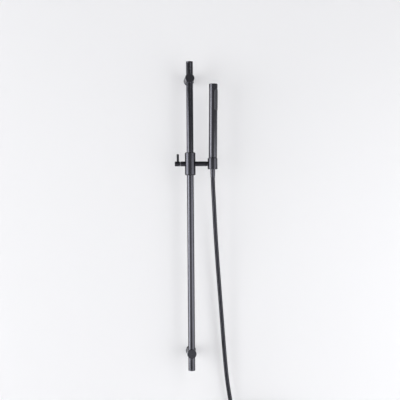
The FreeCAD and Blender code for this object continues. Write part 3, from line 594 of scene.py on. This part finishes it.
def spline_points(points):
    """Points along one smooth NURBS spline that has the route's points as its control points."""
    curve = bpy.data.curves.new("hose_line", "CURVE")
    curve.dimensions = "3D"
    spline = curve.splines.new("NURBS")
    spline.points.add(len(points) - 1)
    for target, point in zip(spline.points, points):
        target.co = (*point, 1.0)
    spline.order_u = 3
    spline.use_endpoint_u = True
    spline.resolution_u = 20
    holder = bpy.data.objects.new("hose_line", curve)
    bpy.context.scene.collection.objects.link(holder)
    mesh = bpy.data.meshes.new_from_object(holder)
    found = [vertex.co.copy() for vertex in mesh.vertices]
    bpy.data.objects.remove(holder)
    bpy.data.curves.remove(curve)
    bpy.data.meshes.remove(mesh)
    return found


def coil_frame(sizes):
    """The coil's centre, the angle where the hose runs into it, and how far it comes forward."""
    entry = Vector(HOSE_ROUTE[-1])
    run = entry - Vector(HOSE_ROUTE[-2])
    run.y = 0
    run.normalize()
    centre = entry + Vector((-run.z, 0, run.x)) * sizes.coil_radius
    first = math.atan2(-run.x, run.z) % math.tau
    return centre, first, sizes.coil_pitch * (sizes.coil_end - first) / math.tau


def spoke(turned):
    """The way out from the coil's centre at an angle."""
    return Vector((math.cos(turned), 0, math.sin(turned)))


def coil_points(sizes):
    """The coil's helix, which goes on from the end of the route, and its tail."""
    centre, first, depth = coil_frame(sizes)
    per_turn = 24
    tail_shares = (0.35, 0.7, 1.0)
    count = round((sizes.coil_end - first) / math.tau * per_turn)
    points = []
    for k in range(1, count + 1):
        turned = first + (sizes.coil_end - first) * k / count
        points.append(centre + spoke(turned) * sizes.coil_radius - AXES["Y"] * (depth * k / count))
    along = spoke(sizes.coil_end + math.pi / 2)
    last = points[-1]
    points += [last + along * (sizes.coil_tail * share) for share in tail_shares]
    return points


def tube_mesh(name, path, radius, steps):
    """A closed round tube along a path, turned as little as the path allows."""
    side = (path[1] - path[0]).orthogonal().normalized()
    rings = []
    for k, point in enumerate(path):
        tangent = (path[min(k + 1, len(path) - 1)] - path[max(k - 1, 0)]).normalized()
        side = (side - tangent * side.dot(tangent)).normalized()
        up = tangent.cross(side)
        turns = [math.tau * step / steps for step in range(steps)]
        rings.append([point + (side * math.cos(turn) + up * math.sin(turn)) * radius for turn in turns])
    return ringed_mesh(name, rings, closed=False, sharp_deg=60)


class SLIDERAIL_OT_strap(bpy.types.Operator):
    """Draw the strap round the coil, one length of webbing whose end laps over itself"""

    bl_idname = "slide_rail.strap"
    bl_label = "Strap"

    def execute(self, context):
        sizes = context.scene.slide_rail_sizes
        section = self.section(sizes)
        count = 120
        bend = sizes.hose_diameter / 2 + sizes.strap_play + sizes.strap_thickness / 2
        straight = coil_frame(sizes)[2]
        total = 2 * straight + math.tau * bend + sizes.strap_lap
        travel = [total * k / count for k in range(count + 1)]
        rings = [self.ring(sizes, section, gone, straight, bend) for gone in travel]
        mesh = ringed_mesh("coil_strap", rings, closed=False, sharp_deg=60)
        laid_out = mesh.uv_layers.new(name="webbing")
        for face in mesh.polygons:
            for corner in face.loop_indices:
                ring, step = divmod(mesh.loops[corner].vertex_index, len(section))
                laid_out.data[corner].uv = (travel[ring], section[step].x)
        new_piece("coil_strap", mesh, woven_strap(), "slider", ["coil_tie"])
        return {"FINISHED"}

    def section(self, sizes):
        """The webbing cut across, with its edges rounded."""
        edge_share = 0.8
        half_width = sizes.strap_width / 2
        half = sizes.strap_thickness / 2
        corners = [(-half_width, -half), (half_width, -half), (half_width, half), (-half_width, half)]
        return rounded(corners, half * edge_share, steps=3)

    def ring(self, sizes, section, gone, straight, bend):
        """The webbing's section after this much of its way round the coil's turns."""
        lap_height = 1.05 * sizes.strap_thickness  # just clear of the webbing under it
        centre, _, depth = coil_frame(sizes)
        out = spoke(sizes.strap_angle)
        along = spoke(sizes.strap_angle + math.pi / 2)
        middle = centre + out * sizes.coil_radius - AXES["Y"] * (depth / 2)
        half_turn = math.pi * bend
        loop = 2 * (straight + half_turn)
        lapped = min(1.0, max(0.0, (gone - loop + half_turn) / half_turn))
        lift = lap_height * lapped
        left = gone % loop
        if left < straight:
            normal = out
            point = out * bend - AXES["Y"] * (left - straight / 2)
        elif left < straight + half_turn:
            turn = (left - straight) / bend
            normal = out * math.cos(turn) - AXES["Y"] * math.sin(turn)
            point = normal * bend - AXES["Y"] * (straight / 2)
        elif left < 2 * straight + half_turn:
            normal = -out
            point = AXES["Y"] * (left - half_turn - 1.5 * straight) - out * bend
        else:
            turn = (left - 2 * straight - half_turn) / bend
            normal = AXES["Y"] * math.sin(turn) - out * math.cos(turn)
            point = normal * bend + AXES["Y"] * (straight / 2)
        return [middle + point + along * v.x + normal * (v.y + lift) for v in section]


class SLIDERAIL_OT_hose_ends(bpy.types.Operator):
    """Finish the fittings at both ends of the hose, and cut the far nut's thread"""

    bl_idname = "slide_rail.hose_ends"
    bl_label = "Hose Ends"

    def execute(self, context):
        sizes = context.scene.slide_rail_sizes
        dress("hose_sleeve", gunmetal("hose_sleeve", "Z", "slider"))
        dress("outlet_sleeve", gunmetal("outlet_sleeve", "X", "slider"))
        # The nut is drawn near black: painted shade of the gap between it and the holder's rim.
        dress("cone_nut", gunmetal("cone_nut", "Z", "dark"))
        dress("outlet_nut", gunmetal("outlet_nut", "X", "slider"))
        dress("hose_tail", plain_brass("hose_tail", "Z"))
        dress("outlet_tail", plain_brass("outlet_tail", "X"))
        for node in ("hose_seal", "outlet_seal"):
            dress(node, rubber())

        nut_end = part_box("outlet_nut")[1].x
        seal_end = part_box("outlet_seal")[1].x
        middle = axis_centre("outlet_nut")
        depth = sizes.thread_depth
        half = sizes.thread_pitch * 0.36  # half the ridge's foot
        crest = half * 0.2  # half the ridge's top
        sunk = 0.15 * MM  # the ridge's foot, in the nut's wall
        run_out = 8  # the ridge rises over one part in this many, and falls so at its end
        least = 0.05  # share of the ridge's height that its ends keep
        root = sizes.thread_diameter / 2 + sunk
        ridge = [(-half, root), (-crest, root - depth), (crest, root - depth), (half, root)]
        turns = int((nut_end - seal_end - 4 * half) / sizes.thread_pitch)
        count = turns * sizes.steps
        rings = []
        for k in range(count + 1):
            turn = math.tau * k / sizes.steps
            fade = min(1.0, run_out * k / count, run_out * (count - k) / count)
            start = seal_end + 2 * half + sizes.thread_pitch * k / sizes.steps
            radial = Vector((0, math.cos(turn), math.sin(turn)))
            ring = []
            for across, radius in ridge:
                reach = root - (root - radius) * max(least, fade)
                ring.append(Vector((start + across, middle.y, middle.z)) + radial * reach)
            rings.append(ring)
        mesh = ringed_mesh("outlet_thread", rings, closed=False, sharp_deg=40)
        brass = plain_brass("outlet_nut", "X")
        new_piece("outlet_thread", mesh, brass, "slider", [])
        return {"FINISHED"}


class SLIDERAIL_OT_hose(bpy.types.Operator):
    """Draw the hose and its coil as one smooth tube"""

    bl_idname = "slide_rail.hose"
    bl_label = "Hose"

    def execute(self, context):
        sizes = context.scene.slide_rail_sizes
        route = [Vector(point) for point in HOSE_ROUTE]
        path = spline_points(route + coil_points(sizes))
        mesh = tube_mesh("hose", path, sizes.hose_diameter / 2, steps=32)
        hose = new_piece("hose", mesh, hose_skin(), None, ["hose_tube", "hose_coil"])
        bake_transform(hose)
        on_hose = [bpy.data.objects[name] for name in ("coil_strap", "outlet_thread")]
        for name in ("outlet_sleeve", "outlet_tail", "outlet_nut", "outlet_seal"):
            on_hose.append(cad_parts[name])
        return {"FINISHED"}


class SLIDERAIL_OT_rail(bpy.types.Operator):
    """Draw the rail's tube and finish its end caps"""

    bl_idname = "slide_rail.rail"
    bl_label = "Rail"

    def execute(self, context):
        sizes = context.scene.slide_rail_sizes
        low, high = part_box("rail_tube")
        outer = sizes.rail_diameter / 2
        inner = outer - sizes.rail_wall
        corners = [(inner, low.z), (outer, low.z), (outer, high.z), (inner, high.z)]
        section = rounded(corners, sizes.rail_edge)
        centre = axis_centre("rail_tube")
        rings = []
        for step in range(sizes.steps):
            turn = math.tau * step / sizes.steps
            out = Vector((math.cos(turn), math.sin(turn), 0))
            rings.append([Vector((centre.x, centre.y, v.y)) + out * v.x for v in section])
        mesh = ringed_mesh("rail", rings, closed=True, sharp_deg=40)
        coat = gunmetal("rail_tube", "Z")
        new_piece("rail", mesh, coat, "rail", ["rail_tube"])
        for node in ("top_end_cap", "bottom_end_cap"):
            dress(node, gunmetal(node, "Z"))
        return {"FINISHED"}


class SLIDERAIL_OT_posts(bpy.types.Operator):
    """Finish the wall posts, with their roses, hubs and screws"""

    bl_idname = "slide_rail.posts"
    bl_label = "Wall Posts"

    def execute(self, context):
        for side in ("upper", "lower"):
            post = side + "_post"
            dress(post, gunmetal(post, "Y"))
            dress(side + "_rose", gunmetal(side + "_rose", "Y", centre_of=post))
            dress(side + "_wall_hub", plain_brass(side + "_wall_hub", "Y"))
        dress("hub_grub_screws", stainless_steel("hub_grub_screws", "Z"))
        dress("rail_grub_screws", stainless_steel("rail_grub_screws", "Y"))
        return {"FINISHED"}


class SLIDERAIL_OT_slider(bpy.types.Operator):
    """Finish the slider: its sleeve, bushes, arm and pivot"""

    bl_idname = "slide_rail.slider"
    bl_label = "Slider"

    def execute(self, context):
        dress("slider_sleeve", gunmetal("slider_sleeve", "Z", "slider"))
        dress("holder_arm", gunmetal("holder_arm", "X", "slider"))
        for node in ("upper_rail_bush", "lower_rail_bush", "pivot_washer"):
            dress(node, nylon())
        for node in ("pivot_screw", "spring_washer"):
            dress(node, stainless_steel(node, "X"))
        return {"FINISHED"}


class SLIDERAIL_OT_lock(bpy.types.Operator):
    """Finish the slider's lock: its neck, knob, lever, spindle and brake pad"""

    bl_idname = "slide_rail.lock"
    bl_label = "Lock"

    def execute(self, context):
        for node in ("lock_neck", "lock_knob"):
            dress(node, gunmetal(node, "X", "slider"))
        # The lever is drawn near black, darker than the knob beside it.
        dress("lever_pin", gunmetal("lever_pin", "Z", "dark"))
        dress("lock_spindle", stainless_steel("lock_spindle", "X"))
        dress("brake_pad", nylon())
        return {"FINISHED"}


class SLIDERAIL_OT_handset(bpy.types.Operator):
    """Finish the handset and the holder that it stands in"""

    bl_idname = "slide_rail.handset"
    bl_label = "Handset"

    def execute(self, context):
        dress("handset_holder", gunmetal("handset_holder", "Z", "slider", centre_of="cone_nut"))
        for node in ("handset_body", "handset_cap"):
            dress(node, gunmetal(node, "Z"))
        dress("spray_plate", spray_abs())
        dress("nozzle_mat", silicone())
        # The near-black painted shade of the joint reaches this far down into the nut.
        into_nut = 1.5 * MM  # how far the coat goes down into the nut
        nut_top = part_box("cone_nut")[1].z
        dress("handset_inlet", brass_with_joint_shade("handset_inlet", nut_top - into_nut))
        for node in ("water_liner", "flow_regulator"):
            dress(node, polypropylene())
        dress("cap_seal", rubber())
        return {"FINISHED"}


class SLIDERAIL_OT_stage(bpy.types.Operator):
    """Set the wall, the floor, the light and the camera"""

    bl_idname = "slide_rail.stage"
    bl_label = "Stage"

    def execute(self, context):
        scene = context.scene
        stage = scene.slide_rail_stage
        scene.view_settings.view_transform = "Standard"
        under = 0.9  # from the lowest of the hose down to the floor
        low = CAD_BOX[0].z - under
        half = 4.0  # half the width of the wall and the floor
        back = 0.5 * MM  # clear of the roses' flat backs
        meeting = [(-half, back, low), (half, back, low)]
        wall = self.sheet("wall", [*meeting, (half, back, half), (-half, back, half)], self.plaster())
        floor = self.sheet("floor", [(half, -half, low), (-half, -half, low), *meeting], self.concrete())
        self.studio()
        for name, spot, target, width, height in LAMPS:
            self.lamp(name, spot, target, width, height, getattr(stage, name))

        camera = bpy.data.cameras.new("camera")
        camera.lens = stage.lens
        camera.sensor_width = 36.0
        holder = bpy.data.objects.new("camera", camera)
        turn = Euler((math.pi / 2 + stage.camera_pitch, 0, -stage.camera_yaw)).to_matrix()
        turn = turn @ Matrix.Rotation(stage.camera_roll, 3, "Z")
        holder.matrix_world = Matrix.Translation(stage.camera_place) @ turn.to_4x4()
        scene.collection.objects.link(holder)
        scene.camera = holder
        return {"FINISHED"}

    def sheet(self, name, corners, material):
        """A flat four-sided sheet."""
        mesh = bpy.data.meshes.new(name)
        mesh.from_pydata(corners, [], [(0, 1, 2, 3)])
        mesh.materials.append(material)
        made = bpy.data.objects.new(name, mesh)
        bpy.context.scene.collection.objects.link(made)
        return made

    def concrete(self):
        # Concrete, floated and sealed: pale and dull, with a faint cloud in its tone.
        base = bpy.context.scene.slide_rail_finish.floor
        name = "concrete_sealed_pale"
        return grained(name, base, grain_mm=4.0, roughness=0.7, spread=0.03, bump_mm=0.05)

    def plaster(self):
        """Rolled plaster, pale and flat, which is clear from behind and to what lies on it."""
        # It gives part of its brightness by itself where it is seen, so its shadows stay pale.
        # Light that comes from behind reaches the flat backs of the roses.
        own_share = 0.4
        touching = 2 * MM  # a ray this short comes from what lies on the wall
        material, tree = new_material("plaster_rolled_pale")
        base = bpy.context.scene.slide_rail_finish.wall
        front = add_node(tree, "ShaderNodeBsdfPrincipled", {"Base Color": rgba(base), "Roughness": 0.8})
        glow = add_node(tree, "ShaderNodeEmission", {"Color": rgba(base)})
        ray = add_node(tree, "ShaderNodeLightPath").outputs
        seen = ray["Is Camera Ray"]
        for kind in ("Is Glossy Ray", "Is Transmission Ray"):
            seen = add_node(
                tree, "ShaderNodeMath", {0: seen, 1: ray[kind]}, operation="MAXIMUM"
            ).outputs[0]
        lift = add_node(
            tree, "ShaderNodeMath", {0: seen, 1: own_share}, operation="MULTIPLY"
        ).outputs[0]
        pale = add_node(
            tree, "ShaderNodeMixShader", {"Fac": lift, 1: front.outputs[0], 2: glow.outputs[0]}
        )
        clear = add_node(tree, "ShaderNodeBsdfTransparent")
        behind = add_node(tree, "ShaderNodeNewGeometry").outputs["Backfacing"]
        close = add_node(
            tree, "ShaderNodeMath", {0: ray["Ray Length"], 1: touching}, operation="LESS_THAN"
        ).outputs[0]
        open_to = add_node(
            tree, "ShaderNodeMath", {0: behind, 1: close}, operation="MAXIMUM"
        ).outputs[0]
        both = add_node(
            tree, "ShaderNodeMixShader", {"Fac": open_to, 1: pale.outputs[0], 2: clear.outputs[0]}
        )
        add_node(tree, "ShaderNodeOutputMaterial", {"Surface": both.outputs[0]})
        return material

    def studio(self):
        """A plain room, dim above, lightest just below the horizon and dimmer towards the floor."""
        world = bpy.data.worlds.new("studio")
        world.use_nodes = True
        tree = world.node_tree
        tree.nodes.clear()
        direction = add_node(tree, "ShaderNodeTexCoord").outputs["Generated"]
        height = add_node(tree, "ShaderNodeSeparateXYZ", {"Vector": direction}).outputs["Z"]
        share = add_node(
            tree, "ShaderNodeMapRange", {"Value": height, "From Min": -1.0}
        ).outputs["Result"]
        ramp = add_node(tree, "ShaderNodeValToRGB", {"Fac": share})
        ramp.color_ramp.interpolation = "EASE"
        stops = ramp.color_ramp.elements
        for sine, _ in ROOM_LIGHT[1:-1]:
            stops.new((sine + 1) / 2)
        for stop, (_, level) in zip(stops, ROOM_LIGHT):
            stop.color = rgba(ROOM_TINT, level)
        light = add_node(tree, "ShaderNodeBackground", {"Color": ramp.outputs["Color"]})
        add_node(tree, "ShaderNodeOutputWorld", {"Surface": light.outputs[0]})
        bpy.context.scene.world = world

    def lamp(self, name, spot, target, width, height, watts):
        """A soft panel that lights the object, and is seen only in the gloss on it."""
        light = bpy.data.lights.new(name, "AREA")
        light.shape = "RECTANGLE"
        light.size = width
        light.size_y = height
        light.energy = watts
        made = bpy.data.objects.new(name, light)
        made.location = spot
        made.rotation_euler = (Vector(target) - Vector(spot)).to_track_quat("-Z", "Y").to_euler()
        made.visible_camera = False
        bpy.context.scene.collection.objects.link(made)


class SLIDERAIL_PT_panel(bpy.types.Panel):
    """Pieces of the slide rail, in the order that they are made"""

    bl_label = "Slide Rail"
    bl_idname = "SLIDERAIL_PT_panel"
    bl_space_type = "VIEW_3D"
    bl_region_type = "UI"
    bl_category = "Slide Rail"

    def draw(self, context):
        for operator in OPERATORS:
            self.layout.operator(operator.bl_idname)


# In the order that they are made: the hose comes after the strap and the thread that are on it
OPERATORS = (
    SLIDERAIL_OT_strap,
    SLIDERAIL_OT_hose_ends,
    SLIDERAIL_OT_hose,
    SLIDERAIL_OT_rail,
    SLIDERAIL_OT_posts,
    SLIDERAIL_OT_slider,
    SLIDERAIL_OT_lock,
    SLIDERAIL_OT_handset,
    SLIDERAIL_OT_stage,
)
GROUPS = {
    "slide_rail_sizes": SlideRailSizes,
    "slide_rail_finish": SlideRailFinish,
    "slide_rail_stage": SlideRailStage,
}


def register():
    for made in (*GROUPS.values(), *OPERATORS, SLIDERAIL_PT_panel):
        bpy.utils.register_class(made)
    for name, group in GROUPS.items():
        setattr(bpy.types.Scene, name, PointerProperty(type=group))


def unregister():
    for name in GROUPS:
        delattr(bpy.types.Scene, name)
    for made in (SLIDERAIL_PT_panel, *reversed(OPERATORS), *GROUPS.values()):
        bpy.utils.unregister_class(made)


def main():
    register()
    for operator in OPERATORS:
        group, name = operator.bl_idname.split(".")
        getattr(getattr(bpy.ops, group), name)()


if __name__ == "__main__":
    main()
